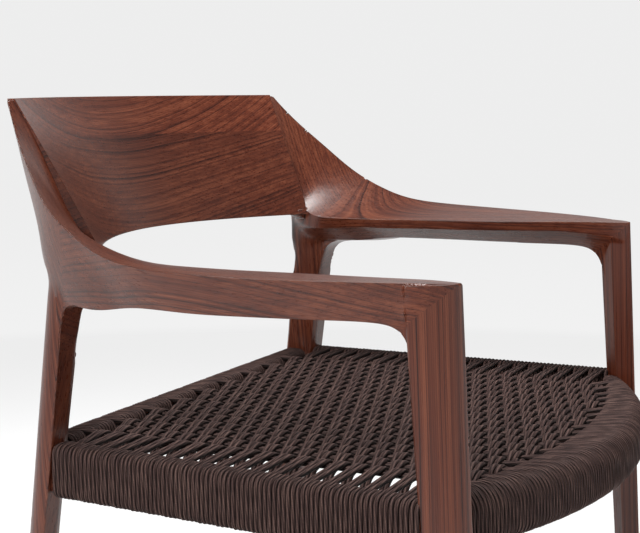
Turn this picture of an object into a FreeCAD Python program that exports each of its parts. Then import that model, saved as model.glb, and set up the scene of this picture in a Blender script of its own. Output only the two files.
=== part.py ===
import FreeCAD, Part
import math
import os
from FreeCAD import Vector

os.makedirs("parts", exist_ok=True)

# Armchair in oiled walnut with a woven cord seat.  Millimetres, +Z up, floor at Z = 0.
# The sitter faces -Y and the sitter's left hand is on +X.
# Everything is drawn on the +X side and mirrored.

Y_SHIFT = 15.8          # brings the middle of the depth onto the origin
GLIDE_H = 4.0           # nylon glide under each foot
GLIDE_R = 8.0

ARM_TOP = 628.0         # top of the arm at its front tip
ARM_BOTTOM = 599.0      # flat underside of the arm
SEAT_TOP = 461.5        # top of the cord over the rails
CORD = 4.5              # thickness of one layer of cord
GAP = 0.3               # air between the cord and the wood
RAIL_W = 19.0           # bare thickness of the side and back rails
RAIL_H = 40.0           # bare height of every rail
RAIL_TOP = SEAT_TOP - CORD
RAIL_BOTTOM = RAIL_TOP - RAIL_H
RAIL_MID = RAIL_TOP - RAIL_H / 2
TENON_T = 9.0
TENON_H = 26.0
TENON_L = 17.0

FRONT_X = 260.0         # inner face of the front leg
FRONT_Y = -230.5        # front of the front leg at the arm top
FRONT_SPLAY = 0.0566    # forward lean of the front leg, per mm of height
FRONT_W = 31.0          # front leg section at the arm
FRONT_D = 37.0
FRONT_FOOT = 0.65       # foot section over the section at the arm

BACK_X = 272.5          # outer front edge of the back leg
BACK_Y = 131.0          # front of the back leg under the arm
BACK_SPLAY = 0.125      # backward lean of the back leg, per mm of height
BACK_JOINT_Z = 593.0

BOARD_T_LOW = 20.0      # horizontal thickness of the back at its lower edge
BOARD_T_TOP = 6.5       # and at its top edge
BOARD_LOW = 627.0
BOARD_HIGH = 764.5
BOARD_SEAM = 723.0      # glue line between the two back boards
DOWEL_R = 3.0           # dowels in the arm joints
DOWEL_L = 24.0
WING_DOWEL_R = 2.5      # dowels from the wing into the lower back board
WING_DOWEL_L = 14.0
DOWEL_PLAY = 0.15


def spline(points, closed=False):
    curve = Part.BSplineCurve()
    curve.interpolate(Points=[Vector(*p) for p in points], PeriodicFlag=closed)
    return curve.toShape()


def station_spline(points, params):
    curve = Part.BSplineCurve()
    curve.interpolate(Points=[Vector(*p) for p in points], Parameters=params)
    return curve.toShape()


def solid_from(faces):
    shell = Part.makeShell(faces)
    shell.sewShape()
    shape = Part.makeSolid(shell)
    if shape.Volume < 0:
        shape.reverse()
    return shape


def fan(points):
    faces = []
    first = Vector(*points[0])
    for a, b in zip(points[1:-1], points[2:]):
        wire = Part.makePolygon([first, Vector(*a), Vector(*b), first])
        faces.append(Part.Face(wire))
    return faces


def beam_edges(stations):
    steps = [0.0]
    for a, b in zip(stations[:-1], stations[1:]):
        steps.append(steps[-1] + (Vector(*b[0]) - Vector(*a[0])).Length)
    params = [s / steps[-1] for s in steps]
    return [station_spline([s[i] for s in stations], params) for i in range(len(stations[0]))]


def beam(stations):
    """Closed body ruled between edge curves that run through the same corner of every station."""
    corners = len(stations[0])
    edges = beam_edges(stations)
    faces = []
    for i in range(corners):
        faces.append(Part.makeRuledSurface(edges[i], edges[(i + 1) % corners]))
    faces += fan(stations[0])
    faces += fan(stations[-1])
    return solid_from(faces)


def mirrored(shape):
    return shape.mirror(Vector(0, 0, 0), Vector(1, 0, 0))


def biggest(shape):
    return max(shape.Solids, key=lambda s: s.Volume)


def box(x0, x1, y0, y1, z0, z1):
    return Part.makeBox(x1 - x0, y1 - y0, z1 - z0, Vector(x0, y0, z0))


def section_loft(sections):
    return Part.makeLoft(sections, True, True)


# ---------------------------------------------------------------- front leg
def front_section(z, grow=0.0):
    """Quarter-round outside, flat inside, bevelled at the inner back corner."""
    down = (ARM_TOP - z) / ARM_TOP
    s = 1.0 - (1.0 - FRONT_FOOT) * down
    y = FRONT_Y - (ARM_TOP - z) * FRONT_SPLAY
    w = FRONT_W * s
    d = FRONT_D * s

    def at(u, v):
        return Vector(FRONT_X + u * w, y + v * d, z)

    curve = Part.BSplineCurve()
    curve.interpolate(Points=[at(0.03, 0.0), at(0.30, 0.07), at(0.62, 0.28), at(0.88, 0.62), at(1.0, 0.95)])
    edges = [curve.toShape()]
    corners = [at(1.0, 0.95), at(0.95, 1.0), at(0.42, 1.0), at(0.0, 0.60), at(0.0, 0.03), at(0.03, 0.0)]
    for a, b in zip(corners[:-1], corners[1:]):
        edges.append(Part.LineSegment(a, b).toShape())
    wire = Part.Wire(edges)
    if grow:
        wire = wire.makeOffset2D(grow)
    return wire


# ---------------------------------------------------------------- back leg
def back_section(z, grow=0.0):
    """Flat front, inner face turned in towards the back, outer back corner fully rounded."""
    y = BACK_Y + (BACK_JOINT_Z - z) * BACK_SPLAY
    if z > 480:
        w = 31.0 + (z - 480.0) * 0.045
        d = 30.0 + (z - 480.0) * 0.02
    else:
        w = 24.0 + z * 7.0 / 480.0
        d = 24.5 + z * 5.5 / 480.0

    def at(u, v):
        return Vector(BACK_X - u * w, y + v * d, z)

    curve = Part.BSplineCurve()
    curve.interpolate(Points=[at(0.0, 0.03), at(0.07, 0.42), at(0.27, 0.72), at(0.60, 0.93),
                              at(0.95, 1.0), at(1.20, 0.99)])
    edges = [curve.toShape()]
    corners = [at(1.20, 0.99), at(1.26, 0.92), at(1.02, 0.28), at(0.90, 0.08), at(0.66, 0.0),
               at(0.03, 0.0), at(0.0, 0.03)]
    for a, b in zip(corners[:-1], corners[1:]):
        edges.append(Part.LineSegment(a, b).toShape())
    wire = Part.Wire(edges)
    if grow:
        wire = wire.makeOffset2D(grow)
    return wire


# ---------------------------------------------------------------- arm and wing
# Each station: outer ridge, inner top edge, inner lower edge, inner bottom, outer bottom.
def arm_station(y, xo, zo, xi, zi, inset_o, inset_i, bottom=ARM_BOTTOM, lip=10.0, y_low=None):
    low = y if y_low is None else y_low
    return [(xo, y, zo), (xi, y, zi), (xi + 2.0, y, zi - lip), (xi + inset_i, low, bottom),
            (xo - inset_o, low, bottom)]


def arm_stations():
    return [
        arm_station(-230.0, 263.0, 628.0, 259.5, 628.0, -24.0, 10.0, 566.0, 24.0, -201.0),
        arm_station(-222.0, 270.0, 628.2, 257.0, 628.0, -16.0, 14.0, 580.0, 20.0, -197.0),
        arm_station(-205.0, 282.0, 628.8, 254.0, 628.0, -4.0, 18.0, 592.0, 16.0, -189.0),
        arm_station(-175.0, 297.5, 629.6, 252.0, 627.4, 5.0, 22.0, 598.0, 12.0, -173.0),
        arm_station(-125.0, 316.5, 630.4, 246.0, 625.8, 11.0, 25.0),
        arm_station(-75.0, 329.5, 631.2, 240.0, 624.4, 14.0, 26.0),
        arm_station(-25.0, 336.0, 632.6, 238.0, 623.4, 15.0, 26.0),
        arm_station(20.0, 333.0, 635.2, 234.0, 622.8, 17.0, 26.0),
        [(322.0, 60.0, 642.0), (227.0, 60.0, 622.5), (229.0, 60.0, 612.5), (253.0, 56.0, 598.0),
         (302.0, 56.0, 594.0)],
        [(313.0, 90.0, 654.5), (216.0, 90.0, 623.0), (219.0, 92.0, 613.0), (240.0, 94.0, 595.0),
         (292.0, 90.0, 590.0)],
        [(304.0, 120.0, 673.0), (205.0, 124.0, 626.0), (210.0, 138.0, 612.0), (236.0, 160.0, 600.0),
         (271.0, 140.0, 600.0)],
        [(288.0, 150.0, 701.5), (218.5, 150.0, 647.0), (229.5, 165.0, 643.0), (252.0, 170.0, 646.0),
         (269.0, 158.0, 655.0)],
        [(271.0, 175.5, 728.0), (228.0, 173.0, 697.0), (236.5, 184.0, 695.0), (250.0, 187.0, 704.0),
         (262.0, 178.0, 708.0)],
        [(249.5, 203.0, 763.5), (241.5, 202.0, 762.5), (244.0, 205.0, 760.0), (247.0, 205.0, 760.0),
         (249.5, 203.2, 760.0)],
    ]


def under_arm_fillet():
    """Sweep that eases the underside of the arm into the front of the back leg."""
    stations = []
    for y, z_in, z_out, x_out in ((94.0, 596.0, 590.0, 290.5), (106.0, 595.0, 590.0, 285.5),
                                  (115.0, 593.0, 589.6, 281.0), (122.0, 590.0, 588.2, 277.5),
                                  (126.5, 586.0, 585.6, 275.2), (129.8, 580.5, 581.0, 273.8),
                                  (132.0, 574.0, 575.0, 273.0), (134.2, 565.0, 566.0, 272.4),
                                  (136.8, 554.0, 554.0, 271.9)):
        stations.append([(242.0, y, z_in), (x_out, y, z_out), (x_out + 3.0, y + 1.0, 604.0),
                         (242.0, y, 604.0)])
    return beam(stations)


def under_back_fillet():
    """Sweep that eases the lower edge of the back into the inside of the back leg."""
    stations = [
        [(246.0, 140.0, 575.0), (238.0, 170.0, 575.0), (238.0, 170.0, 628.0), (246.0, 140.0, 628.0)],
        [(236.0, 140.0, 590.0), (232.0, 169.0, 590.0), (232.0, 169.0, 634.0), (236.0, 140.0, 632.0)],
        [(227.0, 139.0, 606.0), (226.0, 163.0, 606.0), (226.0, 163.0, 636.0), (227.0, 139.0, 634.0)],
        [(214.0, 138.0, 618.0), (218.0, 157.0, 618.0), (218.0, 157.0, 637.0), (214.0, 138.0, 634.0)],
        [(199.0, 142.5, 625.0), (207.0, 158.0, 625.0), (207.0, 158.0, 634.0), (199.0, 142.5, 632.0)],
    ]
    return beam(stations)


def side_frame():
    upper = beam(arm_stations())
    front = section_loft([front_section(GLIDE_H), front_section(ARM_TOP)])
    back = section_loft([back_section(z) for z in (GLIDE_H, 480.0, 616.0)])
    return upper.fuse([front, back, under_arm_fillet(), under_back_fillet()])


def prism(outline, x0=150.0, x1=400.0):
    """Solid with the given Y-Z outline between two X planes."""
    points = [Vector(x0, y, z) for y, z in outline]
    face = Part.Face(Part.makePolygon(points + [points[0]]))
    return face.extrude(Vector(x1 - x0, 0, 0))


# ---------------------------------------------------------------- back boards
def board_point(s, z, thick):
    """Point on the back: s runs from -1 to 1 across it, thick is 0 on the front face and 1 on the rear."""
    f = (z - BOARD_LOW) / (BOARD_HIGH - BOARD_LOW)
    low_x = 250.0 * s
    low_y = 215.0 - 78.0 * (abs(low_x) / 205.0) ** 1.92
    top_x = 268.0 * s
    top_y = 262.0 - 60.0 * (top_x / 241.0) ** 2
    low_slope = -78.0 * 1.92 / 205.0 * (abs(low_x) / 205.0) ** 0.92 * (1 if s > 0 else -1)
    top_slope = -120.0 * top_x / 241.0 ** 2
    x = low_x + (top_x - low_x) * f
    y = low_y + (top_y - low_y) * f
    slope = low_slope + (top_slope - low_slope) * f
    t = (BOARD_T_LOW + (BOARD_T_TOP - BOARD_T_LOW) * f) * thick
    n = math.hypot(1.0, slope)
    return Vector(x - slope / n * t, y + t / n, z)


def board_end_cutter():
    """Everything outboard of the glue face between a back board and the wing."""
    edges = beam_edges(arm_stations())
    crease = edges[1]
    rear = edges[2]
    stations = []
    for t in (0.74, 0.76, 0.78, 0.80, 0.82, 0.85, 0.88, 0.91, 0.94, 0.97, 1.0):
        p = crease.valueAt(t)
        across = Vector(rear.valueAt(t) - p)
        across.z = 0
        across.normalize()
        along = Vector(across.y, -across.x, 0)
        ring = [p - across * 15.0, p + across * 45.0, p + across * 45.0 + along * 90.0,
                p - across * 15.0 + along * 90.0]
        stations.append([(v.x, v.y, v.z) for v in ring])
    low = [(x, y, z - 40.0) for x, y, z in stations[0]]
    high = [(x, y, z + 20.0) for x, y, z in stations[-1]]
    return beam([low] + stations + [high])


def board_plate(z0, z1):
    spread = [-1.0, -0.8, -0.6, -0.4, -0.2, 0.0, 0.2, 0.4, 0.6, 0.8, 1.0]
    edges = []
    for z, thick in ((z0, 0), (z0, 1), (z1, 1), (z1, 0)):
        edges.append(station_spline([board_point(s, z, thick) for s in spread], spread))
    faces = [Part.makeRuledSurface(edges[i], edges[(i + 1) % 4]) for i in range(4)]
    for s in (-1.0, 1.0):
        ring = [board_point(s, z0, 0), board_point(s, z0, 1), board_point(s, z1, 1), board_point(s, z1, 0)]
        faces += fan(ring)
    return solid_from(faces)


# ---------------------------------------------------------------- seat rails
def side_rail_solid(half_w, z0, z1, y0=-190.0, y1=140.0, radius=4.0):
    """Straight rail that follows the taper of the seat, running past both legs."""
    def mid(y):
        return 277.0 - 19.0 * (y + 205.0) / 355.0
    points = [Vector(mid(y0) - half_w, y0, z0), Vector(mid(y0) + half_w, y0, z0),
              Vector(mid(y1) + half_w, y1, z0), Vector(mid(y1) - half_w, y1, z0)]
    solid = Part.Face(Part.makePolygon(points + [points[0]])).extrude(Vector(0, 0, z1 - z0))
    long_edges = [e for e in solid.Edges if abs(e.BoundBox.YLength) > 100.0]
    return solid.makeFillet(radius, long_edges)


NOSE_R = 505.0          # plan radius of the seat front, over the cord
NOSE_CENTRE = 205.0
INNER_R = 690.0         # plan radius of the back of the front rail, over the cord
INNER_CENTRE = 437.0


def front_rail_solid(shrink, z0, z1, reach, nose_top, nose_low, inner):
    """Bowed rail between two arcs; shrink takes the cord off the wrapped outline."""
    r_out = NOSE_R - shrink
    r_in = INNER_R + shrink
    y_out = NOSE_CENTRE - math.sqrt(r_out ** 2 - reach ** 2)
    y_in = INNER_CENTRE - math.sqrt(r_in ** 2 - reach ** 2)
    front = Part.Arc(Vector(-reach, y_out, z0), Vector(0, NOSE_CENTRE - r_out, z0),
                     Vector(reach, y_out, z0)).toShape()
    back = Part.Arc(Vector(reach, y_in, z0), Vector(0, INNER_CENTRE - r_in, z0),
                    Vector(-reach, y_in, z0)).toShape()
    right = Part.LineSegment(Vector(reach, y_out, z0), Vector(reach, y_in, z0)).toShape()
    left = Part.LineSegment(Vector(-reach, y_in, z0), Vector(-reach, y_out, z0)).toShape()
    solid = Part.Face(Part.Wire([front, right, back, left])).extrude(Vector(0, 0, z1 - z0))

    def arc_edge(radius, z):
        for e in solid.Edges:
            if hasattr(e.Curve, "Radius") and abs(e.Curve.Radius - radius) < 0.01:
                if abs(e.BoundBox.ZMin - z) < 0.01:
                    return e
        return None

    solid = solid.makeFillet(nose_top, [arc_edge(r_out, z1)])
    solid = solid.makeFillet(nose_low, [arc_edge(r_out, z0)])
    solid = solid.makeFillet(inner, [arc_edge(r_in, z1), arc_edge(r_in, z0)])
    return solid


def back_rail_solid(half_w, z0, z1, reach, radius):
    solid = box(-reach, reach, 165.0 - half_w, 165.0 + half_w, z0, z1)
    long_edges = [e for e in solid.Edges if abs(e.BoundBox.XLength) > 100.0]
    return solid.makeFillet(radius, long_edges)


def dowel_at(point, direction, radius, length, play=0.0):
    axis = Vector(*direction)
    axis.normalize()
    start = Vector(*point) - axis * (length / 2 + play)
    return Part.makeCylinder(radius + play, length + 2 * play, start, axis)


# ---------------------------------------------------------------- build
body = side_frame()

# The arm meets the front leg on a mitre and the back leg on a raked butt joint.
mitre_run = 35.0
mitre_drop = 31.0
front_cut = prism([(-231.0 - mitre_run, ARM_TOP + mitre_drop),
                   (-231.0 + 2.8 * mitre_run, ARM_TOP - 2.8 * mitre_drop),
                   (-133.0, -10.0), (-320.0, -10.0), (-320.0, ARM_TOP + mitre_drop)])
rear_cut = prism([(93.0, 710.0), (137.0, 560.0), (137.0, -10.0), (400.0, -10.0), (400.0, 900.0),
                  (93.0, 900.0)])
front_leg = biggest(body.common(front_cut))
back_leg = biggest(body.common(rear_cut))
arm = biggest(body.cut([front_cut, rear_cut]))

# Rails, cut back to the legs they meet, each with a tenon at either end.
legs_both = [front_leg, back_leg, mirrored(front_leg), mirrored(back_leg)]
side_rail = biggest(side_rail_solid(RAIL_W / 2, RAIL_BOTTOM, RAIL_TOP, -215.0,
                                    158.0).cut([front_leg, back_leg]))
front_rail = biggest(front_rail_solid(CORD, RAIL_BOTTOM, RAIL_TOP, 276.0, 14.0, 10.0, 4.0).cut(legs_both))
back_rail = biggest(back_rail_solid(RAIL_W / 2, RAIL_BOTTOM, RAIL_TOP, 245.0, 4.0).cut(legs_both))


def tenon(x0, x1, y0, y1, grow=0.0):
    z0 = RAIL_MID - TENON_H / 2 - grow
    z1 = RAIL_MID + TENON_H / 2 + grow
    return box(x0 - grow, x1 + grow, y0 - grow, y1 + grow, z0, z1)


side_tenons = [(273.5, 281.5, -221.0, -190.0), (255.0, 263.0, 130.0, 164.0)]
front_tenon = (240.0, 271.0, -222.0, -214.0)
back_tenon = (225.0, 251.0, 161.0, 169.0)
side_rail = side_rail.fuse([tenon(*t) for t in side_tenons])
front_rail = front_rail.fuse([tenon(*front_tenon), mirrored(tenon(*front_tenon))])
back_rail = back_rail.fuse([tenon(*back_tenon), mirrored(tenon(*back_tenon))])

PLAY = 0.15
front_leg = front_leg.cut([tenon(*side_tenons[0], PLAY), tenon(*front_tenon, PLAY)])
back_leg = back_leg.cut([tenon(*side_tenons[1], PLAY), tenon(*back_tenon, PLAY)])

# Back boards, trimmed to the wings on both sides.
frames = [body, mirrored(body)]


def board(z0, z1):
    cutter = board_end_cutter()
    plate = board_plate(z0, z1).cut([cutter, mirrored(cutter)]).cut(frames)
    middle = [s for s in plate.Solids if abs(s.CenterOfMass.x) < 20.0]
    return biggest(Part.makeCompound(middle))


back_board_lower = board(BOARD_LOW, BOARD_SEAM)
back_board_upper = board(BOARD_SEAM, BOARD_HIGH)

# Dowels: one pair in each mitre, one pair in each rear arm joint, one pair from each wing into the
# lower board.
dowels = []
for x in (265.5, 273.5):
    dowels.append(((x, -214.0, 613.0), (0.0, mitre_drop, mitre_run), DOWEL_R, DOWEL_L))
dowels.append(((245.0, 120.0, 617.0), (0.0, 72.0, 21.0), DOWEL_R, DOWEL_L))
dowels.append(((268.0, 117.0, 630.0), (0.0, 72.0, 21.0), DOWEL_R, DOWEL_L))
dowels.append(((225.2, 156.1, 653.0), (0.9, -0.4, 0.15), WING_DOWEL_R, WING_DOWEL_L))
dowels.append(((231.0, 160.0, 666.0), (0.9, -0.4, 0.15), WING_DOWEL_R, WING_DOWEL_L))
holes = [dowel_at(*d, DOWEL_PLAY) for d in dowels]
front_leg = front_leg.cut(holes)
back_leg = back_leg.cut(holes)
arm = arm.cut(holes)
both_sides = holes + [mirrored(h) for h in holes]
back_board_lower = back_board_lower.cut(both_sides)

# ---------------------------------------------------------------- woven seat
# One closed body: a woven panel flush with the top of the rails and a sleeve of cord around each rail.
fat_front = section_loft([front_section(z, 0.6) for z in (380.0, 500.0)])
fat_back = section_loft([back_section(z, 0.6) for z in (380.0, 479.0)])
fat_legs = [fat_front, fat_back, mirrored(fat_front), mirrored(fat_back)]

low = RAIL_BOTTOM - CORD
sleeves = [
    front_rail_solid(0.0, low, SEAT_TOP, 270.0, 18.0, 14.0, 6.0),
    side_rail_solid(RAIL_W / 2 + CORD, low, SEAT_TOP, -212.0, 156.0, 8.0),
    back_rail_solid(RAIL_W / 2 + CORD, low, SEAT_TOP, 243.0, 8.0),
]
sleeves.append(mirrored(sleeves[1]))
cavities = [
    front_rail_solid(CORD - GAP, RAIL_BOTTOM - GAP, RAIL_TOP + GAP, 290.0, 14.3, 10.3, 4.3),
    side_rail_solid(RAIL_W / 2 + GAP, RAIL_BOTTOM - GAP, RAIL_TOP + GAP, -230.0, 175.0, 4.3),
    back_rail_solid(RAIL_W / 2 + GAP, RAIL_BOTTOM - GAP, RAIL_TOP + GAP, 260.0, 4.3),
]
cavities.append(mirrored(cavities[1]))

PANEL_T = 10.0
panel_z = SEAT_TOP - PANEL_T
ends = 262.0
arc_y = INNER_CENTRE - math.sqrt((INNER_R + 2.0) ** 2 - ends ** 2)
arc = Part.Arc(Vector(-ends, arc_y, panel_z), Vector(0, INNER_CENTRE - INNER_R - 2.0, panel_z),
               Vector(ends, arc_y, panel_z)).toShape()
rim = [Vector(ends, arc_y, panel_z), Vector(265.5, -200.0, panel_z), Vector(247.0, 149.0, panel_z),
       Vector(242.0, 153.5, panel_z), Vector(-242.0, 153.5, panel_z), Vector(-247.0, 149.0, panel_z),
       Vector(-265.5, -200.0, panel_z), Vector(-ends, arc_y, panel_z)]
sides = [Part.LineSegment(a, b).toShape() for a, b in zip(rim[:-1], rim[1:])]
panel = Part.Face(Part.Wire([arc] + sides)).extrude(Vector(0, 0, PANEL_T))
hollow = [sleeve.cut(cavity) for sleeve, cavity in zip(sleeves, cavities)]
woven = panel.fuse(hollow).cut(fat_legs).removeSplitter()
woven_seat = biggest(woven)

# ---------------------------------------------------------------- glides and output
glides = []
for x, y in ((268.5, -253.0), (259.5, 216.5)):
    disc = Part.makeCylinder(GLIDE_R, GLIDE_H, Vector(x, y, 0))
    disc = disc.makeFillet(1.2, [e for e in disc.Edges if abs(e.BoundBox.ZMax) < 0.01])
    glides += [disc, mirrored(disc)]

pegs = []
for dowel in dowels:
    peg = dowel_at(*dowel)
    pegs += [peg, mirrored(peg)]

nodes = {
    "back_board_upper": back_board_upper,
    "back_board_lower": back_board_lower,
    "back_leg_left": back_leg,
    "back_leg_right": mirrored(back_leg),
    "arm_left": arm,
    "arm_right": mirrored(arm),
    "front_leg_left": front_leg,
    "front_leg_right": mirrored(front_leg),
    "side_rail_left": side_rail,
    "side_rail_right": mirrored(side_rail),
    "front_rail": front_rail,
    "back_rail": back_rail,
    "woven_seat": woven_seat,
    "joint_dowels": Part.makeCompound(pegs),
    "foot_glides": Part.makeCompound(glides),
}
box_all = None
for name, shape in nodes.items():
    shape = shape.copy()
    shape.translate(Vector(0, Y_SHIFT, 0))
    shape.exportStep("parts/" + name + ".step")
    b = shape.BoundBox
    box_all = b if box_all is None else box_all.united(b)
    print(name, shape.isValid(), len(shape.Solids), round(shape.Volume), [round(v, 1) for v in
          (b.XMin, b.XMax, b.YMin, b.YMax, b.ZMin, b.ZMax)])
print("all", round(box_all.YMin, 3), round(box_all.YMax, 3), round(box_all.XMin, 2), round(box_all.XMax, 2),
      round(box_all.ZMin, 3), round(box_all.ZMax, 3))
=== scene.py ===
import math

import bmesh
import bpy
import numpy as np
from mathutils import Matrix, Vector
from mathutils.bvhtree import BVHTree
from mathutils.kdtree import KDTree


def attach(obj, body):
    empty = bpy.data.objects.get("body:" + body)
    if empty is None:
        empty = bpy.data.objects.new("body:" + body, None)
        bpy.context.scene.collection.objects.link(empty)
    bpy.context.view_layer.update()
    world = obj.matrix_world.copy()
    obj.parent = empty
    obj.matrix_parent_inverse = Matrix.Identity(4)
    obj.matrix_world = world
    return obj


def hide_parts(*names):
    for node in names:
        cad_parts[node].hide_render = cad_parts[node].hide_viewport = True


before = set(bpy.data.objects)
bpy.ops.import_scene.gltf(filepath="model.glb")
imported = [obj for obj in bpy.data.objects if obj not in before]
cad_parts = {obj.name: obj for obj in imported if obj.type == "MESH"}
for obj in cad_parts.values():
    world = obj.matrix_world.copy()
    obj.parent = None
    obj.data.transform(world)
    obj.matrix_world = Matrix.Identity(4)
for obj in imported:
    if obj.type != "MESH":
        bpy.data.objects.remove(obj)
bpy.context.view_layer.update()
rng = np.random.default_rng(11)

MM = 0.001
Y_SHIFT = 15.8          # the seat is laid out with y from its own middle, in millimetres

# ---------------------------------------------------------------- camera
CAM_AT = (-1.248, -0.5782, 0.777)
CAM_YAW = 26.09         # degrees from +X towards +Y
CAM_DOWN = 7.41         # degrees below level
LENS = 78.75            # millimetres, on a sensor this wide:
SENSOR = 36.0
FAR_CLIP = 100.0

cam_data = bpy.data.cameras.new("camera")
cam_data.lens = LENS
cam_data.sensor_width = SENSOR
cam_data.clip_end = FAR_CLIP
camera = bpy.data.objects.new("camera", cam_data)
camera.location = CAM_AT
camera.rotation_euler = (math.radians(90 - CAM_DOWN), 0, math.radians(CAM_YAW - 90))
bpy.context.scene.collection.objects.link(camera)
bpy.context.scene.camera = camera
bpy.context.scene.view_settings.view_transform = "Standard"


# ---------------------------------------------------------------- node helpers
class Graph:
    """One material's node tree, with short calls for the nodes it needs."""

    def __init__(self, name):
        self.material = bpy.data.materials.new(name)
        self.material.use_nodes = True
        self.tree = self.material.node_tree
        self.shader = self.tree.nodes["Principled BSDF"]

    def node(self, kind, inputs=None, **settings):
        made = self.tree.nodes.new(kind)
        for key, value in settings.items():
            setattr(made, key, value)
        for key, value in (inputs or {}).items():
            self.feed(made.inputs[key], value)
        return made

    def feed(self, socket, value):
        if isinstance(value, bpy.types.NodeSocket):
            self.tree.links.new(value, socket)
        else:
            socket.default_value = value

    def math(self, operation, a, b=0.0):
        return self.node("ShaderNodeMath", {0: a, 1: b}, operation=operation).outputs[0]

    def vector(self, operation, a, b):
        return self.node("ShaderNodeVectorMath", {0: a, 1: b}, operation=operation).outputs[0]

    def noise(self, vector, scale, detail):
        return self.node("ShaderNodeTexNoise", {"Vector": vector, "Scale": scale, "Detail": detail})

    def ramp(self, value, stops):
        made = self.node("ShaderNodeValToRGB", {0: value})
        elements = made.color_ramp.elements
        while len(elements) < len(stops):
            elements.new(0.5)
        for element, (place, color) in zip(elements, stops):
            element.position = place
            element.color = color if len(color) == 4 else (*color, 1.0)
        return made.outputs[0]

    def remap(self, value, low, high, to_low, to_high):
        made = self.node("ShaderNodeMapRange", {0: value, 1: low, 2: high, 3: to_low, 4: to_high})
        return made.outputs[0]

    def mix(self, kind, factor, a, b):
        made = self.node("ShaderNodeMix", data_type="RGBA", blend_type=kind)
        self.feed(made.inputs[0], factor)
        self.feed(made.inputs[6], a)
        self.feed(made.inputs[7], b)
        return made.outputs[2]


def grey(level):
    return (level, level, level, 1.0)


# ---------------------------------------------------------------- walnut
WOOD_DARK = (0.022, 0.0036, 0.0015)
WOOD_MID = (0.078, 0.0165, 0.0070)
WOOD_LIGHT = (0.185, 0.0540, 0.0250)
WOOD_PORE = (0.42, 0.32, 0.30, 1.0)
WOOD_WORN = (0.20, 0.095, 0.060, 1.0)
EDGE_RADIUS = 1.2 * MM  # how far an edge is shaded as rounded and worn


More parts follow.
